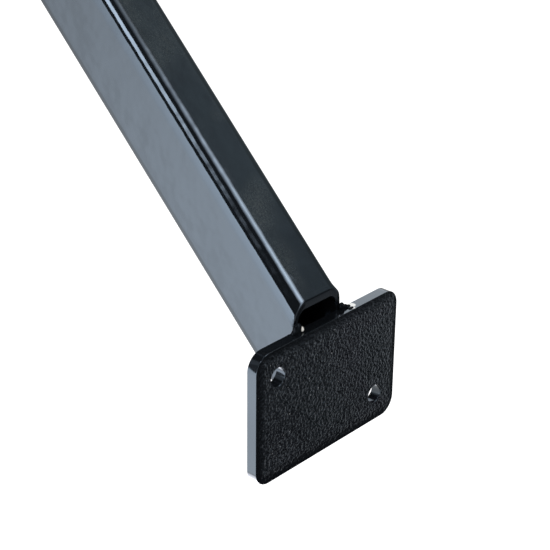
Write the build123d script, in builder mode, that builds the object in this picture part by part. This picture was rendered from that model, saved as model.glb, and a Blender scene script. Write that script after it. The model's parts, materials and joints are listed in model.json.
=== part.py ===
"""Pool handrail: a welded rail of rectangular steel tube on two bolt-on wall plates.

The rail stands upright on a wall.  Each end leans back to the wall at an angle and is
cut off flush with the back of its plate, and the open tip of the tube overhangs the
plate's inner edge, the one nearer the grip.  X runs along the wall, Y away from it and
Z up.  The origin is the centre of the lower plate's mounting face.  Sizes are in
millimetres.
"""

import os
from math import cos, radians, sin, sqrt, tan

from build123d import *

os.makedirs("parts", exist_ok=True)

# ---------------------------------------------------------------------------
# Driving sizes
# ---------------------------------------------------------------------------

# Rectangular steel tube, 2 in x 1-1/2 in with a 1/8 in wall.
TUBE_DEPTH = 50.8  # in the rail's own upright plane
TUBE_WIDTH = 38.1  # along the wall
TUBE_WALL = 3.175
TUBE_CORNER = 9.0  # outer corner radius

# Wall plate, cut from flat steel, with two holes on a diagonal.
PLATE_WIDTH = 116.0
PLATE_HEIGHT = 78.5
PLATE_THICK = 6.35
PLATE_CORNER = 10.0
PLATE_EASE = 0.5  # bevel on the cut edges
HOLE_DIAMETER = 11.0
HOLE_ROLL_WIDTH = 0.5  # edge that the punch rolled in round each hole, mounting side
HOLE_ROLL_DEPTH = 0.3
HOLE_SPREAD_X = 82.2
HOLE_SPREAD_Z = 44.6

# Shape of the rail.
LEG_ANGLE = 45.0  # between a leg and the wall, in degrees
LEG_OVERHANG = 14.15  # open tip of the tube beyond the plate's inner edge
TUBE_SHIFT = -3.2  # from the plate's middle to the tube's middle, along X
GRIP_REACH = 200.0  # from the wall to the middle of the grip
GRIP_LENGTH = 600.0  # between the two elbows, on the tube's axis

# Fillet weld of a leg to the back of its plate.
WELD_LEG = 5.0
WELD_OVERLAP = 0.8  # how far the bead's outline is carried on inside the tube's face
WELD_CORNER_SHARE = 10.0  # part of each side of the tube that the heel bead wraps
WELD_STOP = 3.0  # from the end of a side bead to the plate's inner edge

# Lumps of weld at the plate's inner edge, in the mouth of the tube.
# The left one is a ball; the right one is a cone that thins out across the edge.
LUMP_RADIUS = 3.5
LUMP_INSET = 2.5  # from the tube's side face to the ball's middle
LUMP_STANDOFF = 1.5  # from the plate's back face to the ball's middle
LUMP_RISE = 1.0  # from the plate's inner edge to the ball's middle
RUNOUT_RADIUS = 3.0  # at the tube's side face
RUNOUT_WAIST = 1.7  # radius where the steep part of the taper ends
RUNOUT_TOE = 0.7  # radius at the thin end
RUNOUT_STEEP = 3.0  # length of the steep part
RUNOUT_LENGTH = 8.5  # length of the whole taper
RUNOUT_TURN = 30.0  # from the plate's edge towards its mounting face, in degrees
RUNOUT_STANDOFF = 0.5
RUNOUT_RISE = 0.8

# Butt weld in each elbow, dressed nearly flush.
ELBOW_WELD_WIDTH = 4.0
ELBOW_WELD_PROUD = 0.3

# ---------------------------------------------------------------------------
# Derived sizes and planes
# ---------------------------------------------------------------------------

plate_edge = PLATE_HEIGHT / 2  # height of the inner edge above the plate's middle
foot_length = TUBE_DEPTH / sin(radians(LEG_ANGLE))  # tube's cut end, measured up the wall
leg_rise = plate_edge + LEG_OVERHANG - foot_length / 2  # leg's axis on the plate's back
elbow_height = leg_rise + (GRIP_REACH - PLATE_THICK) / tan(radians(LEG_ANGLE))
leg_length = (GRIP_REACH - PLATE_THICK) / sin(radians(LEG_ANGLE))
rail_middle = elbow_height + GRIP_LENGTH / 2
tube_left = TUBE_SHIFT - TUBE_WIDTH / 2
tube_right = TUBE_SHIFT + TUBE_WIDTH / 2
bore_width = TUBE_WIDTH - 2 * TUBE_WALL
bore_depth = TUBE_DEPTH - 2 * TUBE_WALL
bore_corner = TUBE_CORNER - TUBE_WALL
CORNER_CUT = 2 - sqrt(2)  # bevel that just touches a round corner, as a share of its radius

# Local x of each plane is the row's X.  The leg plane's normal runs up the leg.
foot_plane = Plane(
    origin=(TUBE_SHIFT, PLATE_THICK, leg_rise),
    x_dir=(1, 0, 0),
    z_dir=(0, 1, 0),
)
leg_plane = Plane(
    origin=foot_plane.origin,
    x_dir=(1, 0, 0),
    z_dir=(0, sin(radians(LEG_ANGLE)), cos(radians(LEG_ANGLE))),
)
elbow_plane = Plane(
    origin=(TUBE_SHIFT, GRIP_REACH, elbow_height),
    x_dir=(1, 0, 0),
    z_dir=(0, sin(radians(LEG_ANGLE / 2)), cos(radians(LEG_ANGLE / 2))),
)
plate_edge_plane = Plane.XY.offset(plate_edge)
middle_plane = Plane.XY.offset(rail_middle)


def tube_outline(margin=0.0):
    """Draw the tube's outer outline, grown by margin, in the current sketch."""
    RectangleRounded(
        TUBE_WIDTH + 2 * margin,
        TUBE_DEPTH + 2 * margin,
        TUBE_CORNER + margin,
    )


def tube_bore():
    """Cut the tube's bore out of the current sketch."""
    RectangleRounded(bore_width, bore_depth, bore_corner, mode=Mode.SUBTRACT)


def save(piece, name):
    """Label a finished piece and write it under its node's name."""
    piece.part.label = name
    export_step(piece.part, f"parts/{name}.step")


def save_pair(piece, name):
    """Write a piece of the lower end, and its mirror image at the upper end."""
    save(piece, f"lower_{name}")
    with BuildPart() as twin:
        mirror(piece.part, about=middle_plane)
    save(twin, f"upper_{name}")


# ---------------------------------------------------------------------------
# Wall plates
# ---------------------------------------------------------------------------


def wall_plate(height):
    """Make one plate with its middle at this height; both plates are the same pressing."""
    with BuildPart() as plate:
        with BuildSketch(Plane.XZ.offset(-PLATE_THICK)):
            with Locations((0, height)):
                RectangleRounded(PLATE_WIDTH, PLATE_HEIGHT, PLATE_CORNER)
        extrude(amount=PLATE_THICK)
        chamfer(plate.faces().filter_by(Axis.Y).edges(), PLATE_EASE)
        with Locations(Plane((0, 0, height), x_dir=(1, 0, 0), z_dir=(0, -1, 0))):
            with Locations(
                (-HOLE_SPREAD_X / 2, HOLE_SPREAD_Z / 2),
                (HOLE_SPREAD_X / 2, -HOLE_SPREAD_Z / 2),
            ):
                Hole(HOLE_DIAMETER / 2, depth=PLATE_THICK)
        mounting_face = plate.faces().sort_by(Axis.Y)[0]
        rims = mounting_face.inner_wires().edges()
        chamfer(rims, HOLE_ROLL_WIDTH, HOLE_ROLL_DEPTH, reference=mounting_face)
    return plate


lower_wall_plate = wall_plate(0)
save(lower_wall_plate, "lower_wall_plate")
save(wall_plate(2 * rail_middle), "upper_wall_plate")

# ---------------------------------------------------------------------------
# Rail: two legs and the grip, mitred at the elbows
# ---------------------------------------------------------------------------

with BuildPart() as leg:
    with BuildSketch(leg_plane.offset(-TUBE_DEPTH)):
        tube_outline()
        tube_bore()
    extrude(amount=leg_length + 2 * TUBE_DEPTH)
    split(bisect_by=foot_plane, keep=Keep.TOP)
    split(bisect_by=elbow_plane.offset(-ELBOW_WELD_WIDTH / 2), keep=Keep.BOTTOM)
save_pair(leg, "leg")

with BuildPart() as grip_rail:
    with BuildSketch(Plane((TUBE_SHIFT, GRIP_REACH, elbow_height - TUBE_DEPTH))):
        tube_outline()
        tube_bore()
    extrude(amount=GRIP_LENGTH / 2 + TUBE_DEPTH)
    split(bisect_by=elbow_plane.offset(ELBOW_WELD_WIDTH / 2), keep=Keep.TOP)
    mirror(about=middle_plane)
save(grip_rail, "grip_rail")

with BuildPart() as elbow_weld:
    with BuildSketch(leg_plane.offset(leg_length - TUBE_DEPTH)):
        tube_outline(ELBOW_WELD_PROUD)
        tube_bore()
    extrude(amount=2 * TUBE_DEPTH)
    split(bisect_by=elbow_plane.offset(-ELBOW_WELD_WIDTH / 2), keep=Keep.TOP)
    split(bisect_by=elbow_plane, keep=Keep.BOTTOM)
    mirror(about=elbow_plane)
save_pair(elbow_weld, "elbow_weld")

# ---------------------------------------------------------------------------
# Fillet weld round each foot: a heel bead and two side beads
# ---------------------------------------------------------------------------

# Solid leg without its bore: the beads are cut to this, so that they lie on the tube.
with BuildPart() as leg_core:
    with BuildSketch(leg_plane.offset(-TUBE_DEPTH)):
        tube_outline()
    extrude(amount=leg_length)


def bead_ring():
    """Make the whole bead round a foot, before it is parted."""
    with BuildPart() as ring:
        for height, reach in ((0, WELD_LEG), (WELD_LEG + WELD_OVERLAP, -WELD_OVERLAP)):
            with BuildSketch(foot_plane.offset(height)) as outline:
                with Locations((0, -height / tan(radians(LEG_ANGLE)))):
                    Rectangle(TUBE_WIDTH + 2 * reach, foot_length + 2 * reach)
                chamfer(outline.vertices(), CORNER_CUT * (TUBE_CORNER + reach))
        loft(ruled=True)
        add(leg_core.part, mode=Mode.SUBTRACT)
        split(bisect_by=plate_edge_plane.offset(-WELD_STOP), keep=Keep.BOTTOM)
    return ring


heel_top = Plane.XY.offset(leg_rise - foot_length / 2 + WELD_CORNER_SHARE)

with BuildPart() as heel_weld:
    add(bead_ring().part)
    split(bisect_by=heel_top, keep=Keep.BOTTOM)
save_pair(heel_weld, "heel_weld")

with BuildPart() as left_side_weld:
    add(bead_ring().part)
    split(bisect_by=heel_top, keep=Keep.TOP)
    split(bisect_by=Plane.YZ.offset(TUBE_SHIFT), keep=Keep.BOTTOM)
save_pair(left_side_weld, "left_side_weld")

with BuildPart() as right_side_weld:
    add(bead_ring().part)
    split(bisect_by=heel_top, keep=Keep.TOP)
    split(bisect_by=Plane.YZ.offset(TUBE_SHIFT), keep=Keep.TOP)
save_pair(right_side_weld, "right_side_weld")

# ---------------------------------------------------------------------------
# Ends of the side beads, run over the plate's inner edge in the tube's mouth
# ---------------------------------------------------------------------------

with BuildPart() as left_end_weld:
    with Locations((tube_left + LUMP_INSET, PLATE_THICK - LUMP_STANDOFF, plate_edge + LUMP_RISE)):
        Sphere(LUMP_RADIUS)
    split(bisect_by=plate_edge_plane, keep=Keep.TOP)
    add(leg.part, mode=Mode.SUBTRACT)
save_pair(left_end_weld, "left_end_weld")

runout_plane = Plane(
    origin=(tube_right, PLATE_THICK - RUNOUT_STANDOFF, plate_edge + RUNOUT_RISE),
    x_dir=(cos(radians(RUNOUT_TURN)), -sin(radians(RUNOUT_TURN)), 0),
    z_dir=(-sin(radians(RUNOUT_TURN)), -cos(radians(RUNOUT_TURN)), 0),
)

with BuildPart() as right_end_weld:
    with BuildSketch(runout_plane):
        with BuildLine():
            Polyline(
                (-TUBE_WALL, 0),
                (-TUBE_WALL, RUNOUT_RADIUS / 2),
                (-TUBE_WALL / 2, RUNOUT_RADIUS),
                (0, RUNOUT_RADIUS),
                (RUNOUT_STEEP, RUNOUT_WAIST),
                (RUNOUT_LENGTH, RUNOUT_TOE),
                (RUNOUT_LENGTH, 0),
                close=True,
            )
        make_face()
    revolve(axis=Axis(runout_plane.origin, runout_plane.x_dir))
    split(bisect_by=plate_edge_plane, keep=Keep.TOP)
    add(leg.part, mode=Mode.SUBTRACT)
save_pair(right_end_weld, "right_end_weld")
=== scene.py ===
"""Looks of the welded pool handrail: coats, rounded steel, weld beads, camera and studio."""

import json
from math import atan2, cos, pi, radians, sin, tan

import bmesh
import bpy
from mathutils import Euler, Matrix, Vector, noise
from mathutils.geometry import delaunay_2d_cdt


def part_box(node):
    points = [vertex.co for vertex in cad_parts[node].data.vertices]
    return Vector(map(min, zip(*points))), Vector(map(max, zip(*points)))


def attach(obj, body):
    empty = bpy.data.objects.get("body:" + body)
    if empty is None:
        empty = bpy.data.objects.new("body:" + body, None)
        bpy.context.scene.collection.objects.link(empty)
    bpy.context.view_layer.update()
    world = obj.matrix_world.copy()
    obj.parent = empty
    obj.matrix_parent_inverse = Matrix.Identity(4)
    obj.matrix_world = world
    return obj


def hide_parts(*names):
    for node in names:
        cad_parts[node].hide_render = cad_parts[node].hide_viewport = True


MM = 0.001

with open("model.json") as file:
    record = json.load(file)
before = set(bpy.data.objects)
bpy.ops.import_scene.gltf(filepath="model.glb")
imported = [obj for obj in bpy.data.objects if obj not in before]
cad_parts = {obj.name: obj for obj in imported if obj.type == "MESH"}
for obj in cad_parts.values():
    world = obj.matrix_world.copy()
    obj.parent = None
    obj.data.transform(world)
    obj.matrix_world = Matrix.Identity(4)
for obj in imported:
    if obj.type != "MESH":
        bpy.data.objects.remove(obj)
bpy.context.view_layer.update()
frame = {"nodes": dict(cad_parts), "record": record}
nodes = frame["nodes"]


# ---------------------------------------------------------------------------
# Coat materials.  Noise scales are per metre, bump heights in metres.
# ---------------------------------------------------------------------------

COAT_DARK = (0.003, 0.004, 0.005)
COAT_LIGHT = (0.006, 0.007, 0.009)
COAT_GLOSS = (0.74, 0.86, 1.0)
WELD_GLOSS = (0.8, 0.9, 1.0)
DUST = (0.035, 0.039, 0.037)
SPECK = (0.16, 0.165, 0.165)
# Pale colour for painted glints: painted highlights on the left weld lump and on the plate's top
# edge.
PAINTED_GLINT = (0.95, 0.93, 0.87)


class Coat:
    """A node material with one Principled shader, and helpers to build its inputs."""

    def __init__(self, name, roughness, gloss):
        self.material = bpy.data.materials.new(name)
        self.material.use_nodes = True
        self.tree = self.material.node_tree
        self.shader = self.tree.nodes["Principled BSDF"]
        self.shader.inputs["IOR"].default_value = 1.5
        self.shader.inputs["Roughness"].default_value = roughness
        self.shader.inputs["Specular Tint"].default_value = (*gloss, 1.0)
        self.point = self.add("ShaderNodeTexCoord").outputs["Object"]

    def add(self, kind, inputs=(), **settings):
        """A new node; its inputs are sockets to link or plain values."""
        node = self.tree.nodes.new(kind)
        for name, value in settings.items():
            setattr(node, name, value)
        for key, value in dict(inputs).items():
            if isinstance(value, bpy.types.NodeSocket):
                self.tree.links.new(value, node.inputs[key])
            else:
                node.inputs[key].default_value = value
        return node

    def noise(self, scale, detail):
        inputs = {"Vector": self.point, "Scale": scale, "Detail": detail}
        return self.add("ShaderNodeTexNoise", inputs).outputs["Fac"]

    def math(self, operation, *values):
        return self.add("ShaderNodeMath", enumerate(values), operation=operation).outputs[0]

    def times(self, a, b):
        return self.math("MULTIPLY", a, b)

    def spread(self, value, low, high, to_low=0.0, to_high=1.0):
        """The value with its range low..high spread over to_low..to_high, and clamped."""
        span = {"From Min": low, "From Max": high, "To Min": to_low, "To Max": to_high}
        return self.add("ShaderNodeMapRange", {"Value": value, **span}).outputs["Result"]

    def blend(self, value, under, over):
        """From the colour under at 0 to the colour over at 1; each is a socket or a tuple."""
        node = self.add("ShaderNodeMix", {0: value}, data_type="RGBA")
        for socket, colour in zip(node.inputs[6:8], (under, over)):
            if isinstance(colour, bpy.types.NodeSocket):
                self.tree.links.new(colour, socket)
            else:
                socket.default_value = (*colour, 1.0)
        return node.outputs[2]

    def painted_glint_spot(self, shade, spot, radius):
        """The shade with a pale painted glint, a painted highlight, round one point of the object.
        """
        offset = self.add("ShaderNodeVectorMath", {0: self.point, 1: spot}, operation="DISTANCE")
        glint_mask = self.spread(offset.outputs["Value"], radius, radius + 0.7 * MM, 1.0, 0.0)
        return self.blend(glint_mask, shade, PAINTED_GLINT)

    def facing(self, axis):
        """One part of the surface normal."""
        normal = self.add("ShaderNodeNewGeometry").outputs["Normal"]
        return self.add("ShaderNodeSeparateXYZ", {"Vector": normal}).outputs[axis]

    def bump(self, height, distance, under=None):
        inputs = {"Height": height, "Distance": distance}
        if under is not None:
            inputs["Normal"] = under
        return self.add("ShaderNodeBump", inputs).outputs["Normal"]

    def finish(self, **links):
        for key, value in links.items():
            self.tree.links.new(value, self.shader.inputs[key.replace("_", " ")])
        return self.material


def tube_coat():
    """Smooth gloss coat that rolls a little, with orange peel, grit and faint dust on top."""
    coat = Coat("tube_coat", 0.1, COAT_GLOSS)
    cloud = coat.noise(35.0, 3.0)
    peel = coat.noise(330.0, 2.0)
    roll = coat.noise(55.0, 2.0)
    grit = coat.noise(1500.0, 2.0)
    normal = coat.bump(roll, 0.40 * MM)
    normal = coat.bump(peel, 0.010 * MM, normal)
    normal = coat.bump(grit, 0.004 * MM, normal)
    patches = coat.spread(coat.noise(33.0, 1.0), 0.42, 0.66)
    grains = coat.spread(coat.noise(900.0, 2.0), 0.35, 0.7, 0.2, 1.0)
    upward = coat.spread(coat.facing("Z"), 0.685, 0.704)
    dust = coat.times(coat.times(patches, grains), upward)
    shade = coat.blend(cloud, COAT_DARK, COAT_LIGHT)
    return coat.finish(
        Base_Color=coat.blend(dust, shade, DUST),
        Roughness=coat.spread(grit, 0.3, 0.7, 0.08, 0.12),
        Normal=normal,
    )


def plate_coat():
    """Sand texture on the broad faces that fades towards the edges; smooth edges and holes; two
    pale painted glints on the top edge beside the right lump.
    """
    coat = Coat("plate_coat", 0.2, COAT_GLOSS)
    low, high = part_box("lower_wall_plate")
    upper_low, upper_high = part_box("upper_wall_plate")
    place = coat.add("ShaderNodeSeparateXYZ", {"Vector": coat.point})

    def off_middle(axis, middle):
        return coat.math("ABSOLUTE", coat.math("SUBTRACT", place.outputs[axis], middle))

    def inside(offset, half):
        return coat.spread(offset, half - 7 * MM, half - 2 * MM, 1.0, 0.3)

    z_lower = off_middle("Z", (low.z + high.z) / 2)
    z_upper = off_middle("Z", (upper_low.z + upper_high.z) / 2)
    z_off = coat.math("MINIMUM", z_lower, z_upper)
    x_off = off_middle("X", (low.x + high.x) / 2)
    middle = coat.times(inside(x_off, (high.x - low.x) / 2), inside(z_off, (high.z - low.z) / 2))
    flat = coat.spread(coat.math("ABSOLUTE", coat.facing("Y")), 0.9, 0.98)
    mask = coat.times(middle, flat)
    cloud = coat.noise(60.0, 3.0)
    peel = coat.noise(330.0, 2.0)
    normal = coat.bump(coat.times(coat.noise(570.0, 1.0), mask), 0.95 * MM)
    normal = coat.bump(peel, 0.012 * MM, normal)
    shade = coat.blend(cloud, COAT_DARK, COAT_LIGHT)
    specks = coat.spread(coat.noise(650.0, 0.0), 0.80, 0.84)
    shade = coat.blend(coat.times(specks, mask), shade, SPECK)
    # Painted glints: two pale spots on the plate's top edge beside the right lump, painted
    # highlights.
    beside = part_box("lower_leg")[1].x
    for right, front, radius in ((7.0, 2.2, 1.9), (5.0, 4.8, 0.9)):
        spot = Vector((beside + right * MM, high.y - front * MM, high.z))
        shade = coat.painted_glint_spot(shade, spot, radius * MM)
    return coat.finish(
        Base_Color=shade,
        Roughness=coat.spread(mask, 0.0, 1.0, 0.12, 0.16),
        Normal=normal,
    )


def weld_coat():
    """Dull dressed metal under the coat, with a pale painted glint in one small spot on the left
    lump.
    """
    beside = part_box("lower_leg")[0].x
    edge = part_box("lower_wall_plate")[1]
    # Where the pale painted glint, a painted highlight, sits on the left lump.
    spot = Vector((beside + 3.0 * MM, edge.y - 3.7 * MM, edge.z + 2.0 * MM))
    coat = Coat("weld_coat", 0.12, WELD_GLOSS)
    coat.shader.inputs["Specular IOR Level"].default_value = 0.04
    lumps = coat.noise(420.0, 2.0)
    shade = coat.blend(lumps, COAT_DARK, COAT_LIGHT)
    return coat.finish(
        Base_Color=coat.painted_glint_spot(shade, spot, 1.0 * MM),
        Roughness=coat.spread(lumps, 0.3, 0.7, 0.10, 0.20),
        Normal=coat.bump(lumps, 0.02 * MM),
    )


coats = {"tube_coat": tube_coat(), "plate_coat": plate_coat(), "weld_coat": weld_coat()}

for entry in frame["record"]["subparts"]:
    piece = nodes[entry["node"]]
    piece.data.materials.clear()
    piece.data.materials.append(coats[entry["material_slot"]])


# ---------------------------------------------------------------------------
# Places on the object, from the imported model
# ---------------------------------------------------------------------------

TUBE_DEPTH = 50.8 * MM
TUBE_WIDTH = 38.1 * MM
TUBE_WALL = 3.175 * MM
TUBE_CORNER = 9.0 * MM
LEAN = radians(45)
MITRE = LEAN / 2

leg_low, leg_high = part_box("lower_leg")
grip_low, grip_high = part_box("grip_rail")
plate_low, plate_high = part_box("lower_wall_plate")
rail_middle = (grip_low.z + grip_high.z) / 2
tube_x = (leg_low.x + leg_high.x) / 2
foot_y = plate_high.y
foot_z = leg_low.z + TUBE_DEPTH * sin(LEAN)
grip_y = (grip_low.y + grip_high.y) / 2

leg_foot = Vector((tube_x, foot_y, foot_z))
along_leg = Vector((0.0, sin(LEAN), cos(LEAN)))
side_way = Vector((-1.0, 0.0, 0.0))
face_way = Vector((0.0, -sin(LEAN), cos(LEAN)))
leg_length = (grip_y - foot_y) / along_leg.y
elbow = leg_foot + along_leg * leg_length
mitre_normal = Vector((0.0, sin(MITRE), cos(MITRE)))
mitre_out = Vector((0.0, -cos(MITRE), sin(MITRE)))


# ---------------------------------------------------------------------------
# Mesh helpers
# ---------------------------------------------------------------------------


def make_piece(name, verts, faces, node, slot, upside_down=False):
    """A smooth mesh that stands for a CAD node; upside_down turns it into its upper twin."""
    if upside_down:
        verts = [Vector((v.x, v.y, 2 * rail_middle - v.z)) for v in verts]
        faces = [tuple(reversed(face)) for face in faces]
    mesh = bpy.data.meshes.new(name)
    mesh.from_pydata(verts, [], faces)
    mesh.polygons.foreach_set("use_smooth", [True] * len(mesh.polygons))
    piece = bpy.data.objects.new(name, mesh)
    bpy.context.collection.objects.link(piece)
    mesh.materials.append(coats[slot])
    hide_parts(node)
    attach(piece, "root")


def make_pair(name, verts, faces, slot):
    """The same piece at the lower end and, turned over, at the upper end."""
    for end in ("lower", "upper"):
        make_piece(f"{end}_{name}_coated", verts, faces, f"{end}_{name}", slot, end == "upper")


def grid_faces(rows, columns, closed_rows=False, closed_columns=False):
    """Quads between neighbouring points of a grid that was listed row by row."""
    faces = []
    for i in range(rows if closed_rows else rows - 1):
        for j in range(columns if closed_columns else columns - 1):
            a = i * columns + j
            b = i * columns + (j + 1) % columns
            c = (i + 1) % rows * columns + (j + 1) % columns
            d = (i + 1) % rows * columns + j
            faces.append((a, b, c, d))
    return faces


def curve_between(start, control, end, steps):
    """Points on a parabola from start to end that is pulled towards control."""
    points = []
    for i in range(steps + 1):
        t = i / steps
        points.append(start * (1 - t) ** 2 + control * 2 * t * (1 - t) + end * t**2)
    return points


# ---------------------------------------------------------------------------
# Tube section, shared by the legs, their weld beads and the elbow beads
# ---------------------------------------------------------------------------

CORNER_STEPS = 14
FLAT_STEPS = (0.02, 0.25, 0.5, 0.6, 0.7, 0.8, 0.9, 0.98)


def tube_section():
    """Points round the tube as (x, height, normal x, normal height), in the tube's own section."""
    half_w = TUBE_WIDTH / 2 - TUBE_CORNER
    half_d = TUBE_DEPTH / 2 - TUBE_CORNER
    corners = ((half_w, half_d), (-half_w, half_d), (-half_w, -half_d), (half_w, -half_d))
    points = []
    for quarter, (cx, ch) in enumerate(corners):
        for i in range(CORNER_STEPS + 1):
            angle = radians(90 * (quarter + i / CORNER_STEPS))
            nx, nh = cos(angle), sin(angle)
            points.append((cx + nx * TUBE_CORNER, ch + nh * TUBE_CORNER, nx, nh))
        x, h, nx, nh = points[-1]
        next_x, next_h = corners[(quarter + 1) % 4]
        for t in FLAT_STEPS:
            points.append((x + (next_x - cx) * t, h + (next_h - ch) * t, nx, nh))
    return points


section = tube_section()


def on_leg(x, h, station):
    """Point of the leg at x across it, h above its axis and station up from its foot."""
    return leg_foot - side_way * x + face_way * h + along_leg * station


# ---------------------------------------------------------------------------
# Legs, with the coat drawn round the lip of the cut end
# ---------------------------------------------------------------------------

OUTER_LIP = 1.1 * MM
INNER_LIP = 0.7 * MM
ELBOW_GAP = 2.0 * MM
TIP_BULGE = 0.9 * MM
BULGE_REACH = 3.0 * MM


def mitre_station(h):
    """Station up the leg where it ends under the elbow's bead, at height h."""
    return leg_length - (ELBOW_GAP + sin(MITRE) * h) / cos(MITRE)


def leg_mesh():
    """Each ring runs down the outside from the elbow, round the lip and back up the inside."""
    rows = []
    for x, h, nx, nh in section:
        outer = on_leg(x, h, h)
        inner_h = h - nh * TUBE_WALL
        inner = on_leg(x - nx * TUBE_WALL, inner_h, inner_h)
        across = (inner - outer).normalized()
        length = mitre_station(h) - h
        inner_length = mitre_station(inner_h) - inner_h
        ring = [outer + along_leg * (length - d * MM) for d in (0.0, 0.3, 1.0)]
        ring += [outer + along_leg * length * t for t in (0.75, 0.5, 0.25, 0.1)]
        ring += [outer + along_leg * d * MM for d in (12.0, 8.0, 5.0, 3.5, 2.2, 1.3)]
        ring += curve_between(outer + along_leg * OUTER_LIP, outer, outer + across * OUTER_LIP, 6)
        bulge = max(0.0, nx * 0.72 + nh * 0.69) ** 12 * TIP_BULGE
        for k, point in enumerate(ring):
            reach = (point - outer).dot(along_leg)
            swell = bulge * 0.5 ** (reach / BULGE_REACH) ** 2
            ring[k] = point + (-side_way * nx + face_way * nh) * swell
        ring += curve_between(inner - across * INNER_LIP, inner, inner + along_leg * INNER_LIP, 4)
        ring += [inner + along_leg * d * MM for d in (1.2, 3.0, 10.0)]
        ring += [inner + along_leg * inner_length * t for t in (0.25, 0.5, 0.75)]
        ring += [inner + along_leg * (inner_length - d * MM) for d in (1.0, 0.3, 0.0)]
        rows.append(ring)
    verts = [point for ring in rows for point in ring]
    return verts, grid_faces(len(rows), len(rows[0]), closed_rows=True, closed_columns=True)


make_pair("leg", *leg_mesh(), "tube_coat")


# ---------------------------------------------------------------------------
# Weld beads: rippled fillets round each foot, and a dressed bead in each elbow
# ---------------------------------------------------------------------------

WELD_LEG = 5.0 * MM
RIPPLE = 2.3 * MM
RIPPLE_DEPTH = 0.42 * MM
BEAD_TAPER = 2.5 * MM
BEAD_COLUMNS = 12
BEAD_OVERLAP = 0.5 * MM
ELBOW_BEAD_HALF = 2.1 * MM
ELBOW_ROOT = 2.5 * MM


def ripple(run, across):
    """Height of the bead's ripples, 0 to 1: crescents that trail back at both sides."""
    phase = (run / RIPPLE - 0.9 * (2 * across - 1) ** 2) % 1.0
    return (1 - phase) ** 0.6 * min(1.0, phase * 6)


def wobble(point, scale, seed):
    return noise.noise(point * scale + Vector((seed, seed * 2.7, -seed)))


def path_angle(point):
    """Angle round the foot's middle, from straight up, counter-clockwise seen from the wall."""
    return atan2(tube_x - point.x, point.z - foot_z) % (2 * pi)


def foot_path():
    """(point, out) round the foot on the plate's back, from its left side over the heel."""
    path = []
    for x, h, nx, nh in section:
        if (h < 0 or nx * nx > 0.5) and not nh > 0.5:
            out = (-side_way * nx + Vector((0.0, 0.0, 1.0)) * nh * cos(LEAN)).normalized()
            path.append((on_leg(x, h, h), out))
    return sorted(path, key=lambda step: path_angle(step[0]))


def fine_path(path, step):
    """The same path in equal short steps, as (run, point, out)."""
    runs = [0.0]
    for (a, _), (b, _) in zip(path, path[1:]):
        runs.append(runs[-1] + (b - a).length)
    count = int(runs[-1] / step)
    fine = []
    k = 0
    for i in range(count + 1):
        run = runs[-1] * i / count
        while k < len(runs) - 2 and runs[k + 1] < run:
            k += 1
        t = (run - runs[k]) / (runs[k + 1] - runs[k])
        point = path[k][0].lerp(path[k + 1][0], t)
        out = path[k][1].lerp(path[k + 1][1], t).normalized()
        fine.append((run, point, out))
    return fine


def bead(name, steps):
    """A rippled fillet along these steps, rounded off at both ends."""
    start, end = steps[0][0], steps[-1][0]
    arc_steps = BEAD_COLUMNS - 3
    verts = []
    for run, corner, out in steps:
        near_end = max(0.0, min(run - start, end - run))
        swell = min(1.0, 0.25 + (near_end / BEAD_TAPER) ** 0.5)
        leg = WELD_LEG * swell * (1 + 0.10 * wobble(corner, 160.0, 3.0))
        foot = corner + out * leg
        top = corner + along_leg * leg * (1 + 0.12 * wobble(corner, 210.0, 8.0))
        pull = corner + (out + along_leg) * leg * 0.66
        ring = curve_between(foot, pull, top, arc_steps)
        inward = (corner - (foot + top) / 2).normalized()
        for j in range(1, arc_steps):
            share = j / arc_steps
            depth = RIPPLE_DEPTH * swell * (1 - ripple(run, share)) * sin(pi * share)
            ring[j] = ring[j] + inward * depth
        ring.append(top - out * 0.6 * MM)
        ring.append(foot + Vector((0.0, -0.5 * MM, 0.0)) - out * leg * 0.5)
        verts += ring
    faces = grid_faces(len(steps), BEAD_COLUMNS, closed_columns=True)
    last = (len(steps) - 1) * BEAD_COLUMNS
    faces.append(tuple(reversed(range(BEAD_COLUMNS))))
    faces.append(tuple(range(last, last + BEAD_COLUMNS)))
    make_pair(name, verts, faces, "weld_coat")


def between(steps, low, high, side):
    """The steps whose height lies in a band, on one side of the tube, or on both for side 0."""
    return [s for s in steps if low <= s[1].z <= high and side * (s[1].x - tube_x) >= 0]


foot_steps = fine_path(foot_path(), 0.45 * MM)
side_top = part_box("lower_left_side_weld")[1].z - 2.0 * MM
heel_low, heel_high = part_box("lower_heel_weld")
bead("left_side_weld", between(foot_steps, heel_high.z - BEAD_OVERLAP, side_top, -1))
bead("right_side_weld", between(foot_steps, heel_high.z - BEAD_OVERLAP, side_top, 1))
bead("heel_weld", between(foot_steps, heel_low.z, heel_high.z + BEAD_OVERLAP, 0))


def elbow_mesh():
    """Dressed butt weld: a shallow rippled band round the mitre, with its root inside the tube."""
    path = []
    for x, h, nx, nh in section:
        middle = elbow - side_way * x + mitre_out * (h / cos(MITRE))
        out = (-side_way * nx + mitre_out * nh).normalized()
        path.append((middle, out))
    path.append(path[0])
    steps = fine_path(path, 0.6 * MM)[:-1]
    arc_steps = BEAD_COLUMNS - 3
    verts = []
    for run, middle, out in steps:
        ring = []
        for j in range(arc_steps + 1):
            share = j / arc_steps
            across = (share * 2 - 1) * ELBOW_BEAD_HALF
            proud = (0.02 + 0.24 * sin(pi * share) * (0.55 + 0.45 * ripple(run, share))) * MM
            bent = mitre_normal * across + mitre_out * abs(across) * tan(MITRE)
            ring.append(middle + bent + out * proud)
        ring += [ring[-1] - out * ELBOW_ROOT, ring[0] - out * ELBOW_ROOT]
        verts += ring
    return verts, grid_faces(len(steps), BEAD_COLUMNS, closed_rows=True, closed_columns=True)


make_pair("elbow_weld", *elbow_mesh(), "tube_coat")


# ---------------------------------------------------------------------------
# Lumps where the side beads end on the plate's inner edge
# ---------------------------------------------------------------------------

LUMP_VOXEL = 0.2 * MM
LUMP_FLOW = 25
LUMP_SKIN = 0.14 * MM


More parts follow.
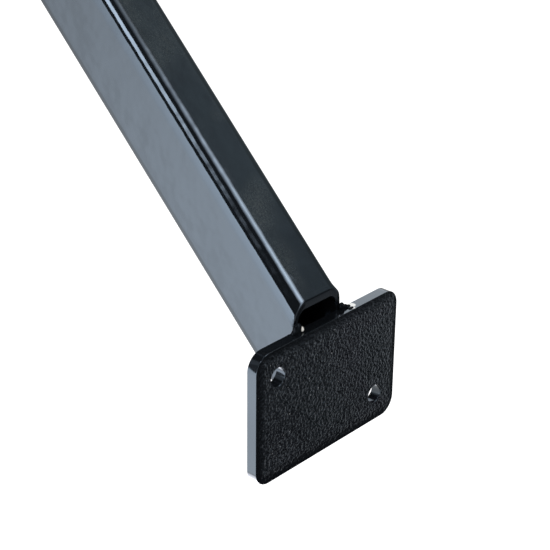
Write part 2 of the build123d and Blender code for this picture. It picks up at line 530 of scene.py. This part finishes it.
def lump(name, side_x, blobs, seed):
    """Soft union of ellipsoids with the uneven skin of weld metal.

    Each blob is (right of side_x, in front of the plate's back, above its edge) and its
    radii, all in millimetres.
    """
    joined = bmesh.new()
    for (right, front, rise), radii in blobs:
        middle = Vector((side_x + right * MM, foot_y - front * MM, plate_high.z + rise * MM))
        turn = Matrix.Translation(middle) @ Matrix.Diagonal((*(Vector(radii) * MM), 1.0))
        bmesh.ops.create_icosphere(joined, subdivisions=4, radius=1.0, matrix=turn)
    mesh = bpy.data.meshes.new(name + "_blobs")
    joined.to_mesh(mesh)
    joined.free()
    rough = bpy.data.objects.new(name + "_blobs", mesh)
    bpy.context.collection.objects.link(rough)
    remesh = rough.modifiers.new("union", "REMESH")
    remesh.mode = "VOXEL"
    remesh.voxel_size = LUMP_VOXEL
    rough.modifiers.new("flow", "SMOOTH").iterations = LUMP_FLOW
    bpy.context.view_layer.update()
    finished = rough.evaluated_get(bpy.context.evaluated_depsgraph_get())
    shape = bpy.data.meshes.new_from_object(finished)
    bpy.data.objects.remove(rough)
    verts = []
    for vert in shape.vertices:
        verts.append(vert.co + vert.normal * LUMP_SKIN * wobble(vert.co, 300.0, seed))
    make_pair(name, verts, [tuple(face.vertices) for face in shape.polygons], "weld_coat")


lump(
    "left_end_weld",
    tube_x - TUBE_WIDTH / 2,
    [
        ((0.9, 2.0, 1.2), (3.3, 2.2, 4.4)),
        ((-0.6, 1.6, -0.2), (2.6, 1.7, 2.6)),
        ((3.2, 2.4, 0.9), (1.8, 1.6, 2.2)),
    ],
    5.0,
)
lump(
    "right_end_weld",
    tube_x + TUBE_WIDTH / 2,
    [
        ((-0.6, 1.4, 1.2), (2.0, 1.6, 2.9)),
        ((1.4, 1.5, 0.6), (2.8, 1.4, 1.6)),
        ((3.4, 2.2, 0.4), (2.6, 1.2, 0.8)),
        ((3.8, 4.5, 0.2), (2.2, 1.1, 0.5)),
    ],
    9.0,
)


# ---------------------------------------------------------------------------
# Wall plates, with the coat rounding their rims
# ---------------------------------------------------------------------------

PLATE_CORNER = 10.0 * MM
PLATE_RIM = 0.14 * MM
HOLE_RADIUS = 5.5 * MM
HOLE_RIM = 0.25 * MM
HOLES = ((-41.1 * MM, 22.3 * MM), (41.1 * MM, -22.3 * MM))
FACE_INSET = 1.5 * MM
TURN_STEP = 7.5


def rim_profile(rim):
    """(inset from the cut edge, distance from the mounting face) from front to back."""
    thick = plate_high.y - plate_low.y
    front = [(FACE_INSET, 0.0), (rim + 0.2 * MM, 0.0), (rim + 0.04 * MM, 0.0)]
    for i in range(6):
        angle = radians(18 * i)
        front.append((rim * (1 - sin(angle)), rim * (1 - cos(angle))))
    front += [(0.0, rim + 0.04 * MM), (0.0, rim + 0.2 * MM)]
    return front + [(inset, thick - depth) for inset, depth in reversed(front)]


def plate_outline(inset):
    points = []
    for quarter, (sx, sz) in enumerate(((1, 1), (-1, 1), (-1, -1), (1, -1))):
        cx = (plate_high.x - PLATE_CORNER) * sx
        cz = (plate_high.z - PLATE_CORNER) * sz
        for i in range(13):
            angle = radians(90 * quarter + TURN_STEP * i)
            radius = PLATE_CORNER - inset
            points.append((cx + radius * cos(angle), cz + radius * sin(angle)))
    return points


def hole_outline(middle, inset):
    radius = HOLE_RADIUS + inset
    turns = [radians(-TURN_STEP * i) for i in range(48)]
    return [(middle[0] + radius * cos(turn), middle[1] + radius * sin(turn)) for turn in turns]


def plate_mesh():
    """Rounded walls round the outline and the holes, and two flat faces between them."""
    outlines = [(plate_outline, PLATE_RIM)]
    outlines += [(lambda inset, hole=hole: hole_outline(hole, inset), HOLE_RIM) for hole in HOLES]
    verts = []
    faces = []
    loops = []
    for outline, rim in outlines:
        start = len(verts)
        rings = [
            [Vector((x, depth, z)) for x, z in outline(inset)] for inset, depth in rim_profile(rim)
        ]
        count = len(rings[0])
        verts += [point for ring in rings for point in ring]
        for face in grid_faces(len(rings), count, closed_columns=True):
            faces.append(tuple(start + k for k in reversed(face)))
        loops.append((start, start + (len(rings) - 1) * count, count))
    for side in (0, 1):
        ids = [loop[side] + k for loop in loops for k in range(loop[2])]
        flat = [Vector((verts[k].x, verts[k].z)) for k in ids]
        edges = []
        base = 0
        for _, _, count in loops:
            edges += [(base + k, base + (k + 1) % count) for k in range(count)]
            base += count
        for triangle in delaunay_2d_cdt(flat, edges, [], 0, 1e-7)[2]:
            middle = sum((flat[k] for k in triangle), Vector((0.0, 0.0))) / 3
            if all((middle - Vector(hole)).length > HOLE_RADIUS + 1.4 * MM for hole in HOLES):
                face = tuple(ids[k] for k in triangle)
                faces.append(face if side == 0 else tuple(reversed(face)))
    return verts, faces


verts, faces = plate_mesh()
make_piece("lower_wall_plate_coated", verts, faces, "lower_wall_plate", "plate_coat")
shifted = [vert + Vector((0.0, 0.0, 2 * rail_middle)) for vert in verts]
make_piece("upper_wall_plate_coated", shifted, faces, "upper_wall_plate", "plate_coat")


# ---------------------------------------------------------------------------
# Camera
# ---------------------------------------------------------------------------

camera_data = bpy.data.cameras.new("camera")
camera_data.lens = 102.4
camera_data.sensor_width = 36.0
camera_data.clip_start = 0.01
camera = bpy.data.objects.new("camera", camera_data)
camera.location = (-0.570498, -0.469082, 0.421110)
camera.rotation_euler = Euler([radians(v) for v in (64.3223, -0.4995, -48.0415)], "XYZ")
bpy.context.collection.objects.link(camera)
bpy.context.scene.camera = camera
bpy.context.scene.view_settings.view_transform = "Standard"


# ---------------------------------------------------------------------------
# Studio: floor, world and key light
# ---------------------------------------------------------------------------

FLOOR_DROP = 0.8
FLOOR_GLOW = 0.75


def stage_material(name, build):
    """A material whose nodes are made by build(tree, output)."""
    material = bpy.data.materials.new(name)
    material.use_nodes = True
    tree = material.node_tree
    tree.nodes.clear()
    build(tree, tree.nodes.new("ShaderNodeOutputMaterial"))
    return material


def seen_directly(tree):
    """1 for rays from the camera, off gloss and through glass, 0 for the rest."""
    rays = tree.nodes.new("ShaderNodeLightPath").outputs
    seen = rays["Is Camera Ray"]
    for kind in ("Is Glossy Ray", "Is Transmission Ray"):
        either = tree.nodes.new("ShaderNodeMath")
        either.operation = "MAXIMUM"
        tree.links.new(seen, either.inputs[0])
        tree.links.new(rays[kind], either.inputs[1])
        seen = either.outputs[0]
    return seen


def white_floor(tree, output):
    """White paint that takes shadows, with a glow that lifts it to white where it is seen."""
    paint = tree.nodes.new("ShaderNodeBsdfDiffuse")
    paint.inputs["Color"].default_value = (0.9, 0.9, 0.9, 1.0)
    strength = tree.nodes.new("ShaderNodeMath")
    strength.operation = "MULTIPLY"
    strength.inputs[1].default_value = FLOOR_GLOW
    glow = tree.nodes.new("ShaderNodeEmission")
    both = tree.nodes.new("ShaderNodeAddShader")
    tree.links.new(seen_directly(tree), strength.inputs[0])
    tree.links.new(strength.outputs[0], glow.inputs["Strength"])
    tree.links.new(paint.outputs[0], both.inputs[0])
    tree.links.new(glow.outputs[0], both.inputs[1])
    tree.links.new(both.outputs[0], output.inputs["Surface"])


bpy.ops.mesh.primitive_plane_add(size=24.0, location=(0.0, 0.0, -FLOOR_DROP))
floor = bpy.context.object
floor.name = "floor"
floor.data.materials.append(stage_material("floor_white", white_floor))

world = bpy.data.worlds.new("studio")
bpy.context.scene.world = world
world.use_nodes = True
sky = world.node_tree
background = sky.nodes["Background"]
background.inputs["Color"].default_value = (1.0, 1.0, 1.0, 1.0)
level = sky.nodes.new("ShaderNodeMapRange")
level.inputs["To Min"].default_value = 0.5
level.inputs["To Max"].default_value = 1.0
sky.links.new(seen_directly(sky), level.inputs["Value"])
sky.links.new(level.outputs["Result"], background.inputs["Strength"])

key_data = bpy.data.lights.new("key", "AREA")
key_data.size = 1.6
key_data.energy = 40.0
key = bpy.data.objects.new("key", key_data)
key.location = (-1.0, -1.2, 2.6)
key.rotation_euler = (Vector((0.0, 0.1, 0.4)) - key.location).to_track_quat("-Z", "Y").to_euler()
key.visible_camera = False
key.visible_glossy = False
bpy.context.collection.objects.link(key)


# ---------------------------------------------------------------------------
# Cards that glow and flags that are dark, round the lower end.  The coat shows them in its
# gloss; nothing else sees them.
# ---------------------------------------------------------------------------

CARD_TINT = (0.86, 0.93, 1.0)


def glow_card(name, verts, faces, levels, tint):
    """A card that glows with one strength per vertex, seen only in gloss."""
    mesh = bpy.data.meshes.new(name)
    mesh.from_pydata(verts, [], faces)
    mesh.attributes.new("glow", "FLOAT", "POINT").data.foreach_set("value", levels)
    card = bpy.data.objects.new(name, mesh)
    bpy.context.collection.objects.link(card)

    def build(tree, output):
        level = tree.nodes.new("ShaderNodeAttribute")
        level.attribute_name = "glow"
        lamp = tree.nodes.new("ShaderNodeEmission")
        lamp.inputs["Color"].default_value = (*tint, 1.0)
        tree.links.new(level.outputs["Fac"], lamp.inputs["Strength"])
        tree.links.new(lamp.outputs[0], output.inputs["Surface"])

    mesh.materials.append(stage_material(name + "_glow", build))
    card.visible_camera = False
    card.visible_diffuse = False
    card.visible_shadow = False


def curved_card(name, round_leg, up_leg, distance=2.0, tint=CARD_TINT):
    """A card bent round the lower leg's axis, with levels round it and along it multiplied.

    round_leg is (angle, level): 0 degrees is on the tube's -X side and 90 is over its upper
    narrow face.  up_leg is (metres up the leg from its foot, level).
    """
    verts = []
    levels = []
    for angle, side_level in round_leg:
        out = side_way * cos(radians(angle)) + face_way * sin(radians(angle))
        for along, level in up_leg:
            verts.append(leg_foot + out * distance + along_leg * along)
            levels.append(side_level * level)
    glow_card(name, verts, grid_faces(len(round_leg), len(up_leg)), levels, tint)


def card_axes(middle, target):
    """Two unit vectors across a card that faces a target point."""
    way = (target - middle).normalized()
    across = way.orthogonal().normalized()
    return across, way.cross(across)


def flat_card(name, middle, target, size, level, tint=CARD_TINT):
    """A square card that faces a target point."""
    middle = Vector(middle)
    across, up = card_axes(middle, Vector(target))
    corners = ((-1, -1), (1, -1), (1, 1), (-1, 1))
    verts = [middle + (across * i + up * j) * size / 2 for i, j in corners]
    glow_card(name, verts, [(0, 1, 2, 3)], [level] * 4, tint)


def round_card(name, middle, target, rings):
    """A disc that faces a target point; rings are (radius, level) from the centre out."""
    middle = Vector(middle)
    across, up = card_axes(middle, Vector(target))
    turns = [radians(15 * i) for i in range(24)]
    verts = []
    levels = []
    for radius, level in rings:
        verts += [middle + (across * cos(turn) + up * sin(turn)) * radius for turn in turns]
        levels += [level] * len(turns)
    faces = grid_faces(len(rings), len(turns), closed_columns=True)
    glow_card(name, verts, faces, levels, CARD_TINT)


# The grey of the tube's wide side, of the plate's left edge and of the holes' walls.
curved_card(
    "card_side",
    [
        (-126, 0.06),
        (-106, 0.12),
        (-86, 0.24),
        (-66, 0.45),
        (-58, 0.62),
        (-53, 0.86),
        (-50.6, 0.84),
        (-49.3, 0.84),
        (-48.2, 0.95),
        (-47.5, 1.0),
        (-36, 1.15),
        (-16, 1.45),
        (10, 1.65),
        (20.5, 1.8),
    ],
    [
        (-0.5, 6.6),
        (0.1, 5.6),
        (0.3, 5.1),
        (0.46, 4.35),
        (0.55, 3.85),
        (0.64, 3.6),
        (0.7, 0.5),
        (2.0, 0.3),
    ],
    distance=1.0,
)

# The two highlights along the tube's upper left corner: the left one grows up the leg, and
# the one next to the upper face grows down it.
curved_card(
    "card_left_strip",
    [(42, 1.0), (64, 1.0)],
    [(0.28, 0.0), (0.46, 1.4), (0.6, 9.0), (0.74, 14.5), (0.88, 17.5), (1.5, 20.0)],
)
curved_card(
    "card_top_strip",
    [(87, 0.0), (95, 0.35), (103, 0.85), (111, 1.2), (117, 1.05), (124, 0.5), (130, 0.1)],
    [
        (-2.0, 3.0),
        (-0.5, 6.0),
        (0.04, 8.0),
        (0.12, 14.0),
        (0.22, 13.0),
        (0.33, 11.4),
        (0.46, 9.6),
        (0.6, 6.4),
        (0.74, 3.4),
        (0.88, 2.4),
        (1.3, 1.0),
    ],
)

# The dark of the corner and of the upper face, and of what lies up the leg.
curved_card(
    "flag_over_leg",
    [
        (21, 0.08),
        (60, 0.08),
        (100, 0.08),
        (129, 0.36),
        (134, 0.65),
        (138, 0.72),
        (146, 0.4),
        (160, 0.28),
        (200, 0.15),
    ],
    [(-1.6, 0.78), (0.3, 0.78), (0.58, 1.16), (0.9, 1.07), (1.6, 1.0)],
    distance=2.4,
    tint=(0.82, 1.0, 1.08),
)
flat_card("flag_up_leg", leg_foot + along_leg * 2.0 + side_way * 0.4, leg_foot, 2.6, 0.05)

# The dark of the plate's face, lighter towards the disc's rim to bring out the sand texture,
# and the dark of the rims and lumps that face the front.
round_card(
    "card_below",
    (0.35, -0.39, -0.41),
    (0.0, 0.0, 0.0),
    [
        (0.001, 0.012),
        (0.1, 0.016),
        (0.18, 0.04),
        (0.26, 0.11),
        (0.36, 0.32),
        (0.5, 0.62),
        (0.9, 0.9),
    ],
)
flat_card("flag_front", (0.56, -0.58, 0.12), (0.0, 0.0, 0.04), 0.4, 0.06)

# Small ones close to the plate, for the right hole's wall, the upper left corner and the
# left hole's wall.
flat_card(
    "flag_behind", (0.004, 0.034, -0.050), (0.004, 0.0, -0.050), 0.07, 2.2, (1.0, 1.0, 0.97)
)
flat_card("flag_corner", (-0.070, 0.010, 0.038), (0.0, 0.010, 0.038), 0.014, 0.3)
flat_card("flag_hole", (-0.065, 0.026, 0.020), (0.0, 0.026, 0.020), 0.016, 0.5)

# The plate's pale lower left corner, the lip of the cut tube and the plate's top edge.
curved_card(
    "card_low",
    [(-130, 0.8), (-112, 1.0), (-64, 1.0), (-57, 0.3)],
    [(-0.45, 7.0), (-0.08, 7.0)],
    distance=0.7,
    tint=(0.95, 0.95, 1.0),
)
lip_corners = ((0.0, 0.036), (0.026, 0.036), (0.026, 0.046), (0.0, 0.046))
lip_verts = [Vector((x, -0.005, z)) for x, z in lip_corners]
glow_card("card_lip", lip_verts, [(0, 1, 2, 3)], [0.3] * 4, CARD_TINT)
flat_card("card_behind", (0.62, 0.56, 0.42), (0.0, 0.0, 0.04), 0.5, 2.3)
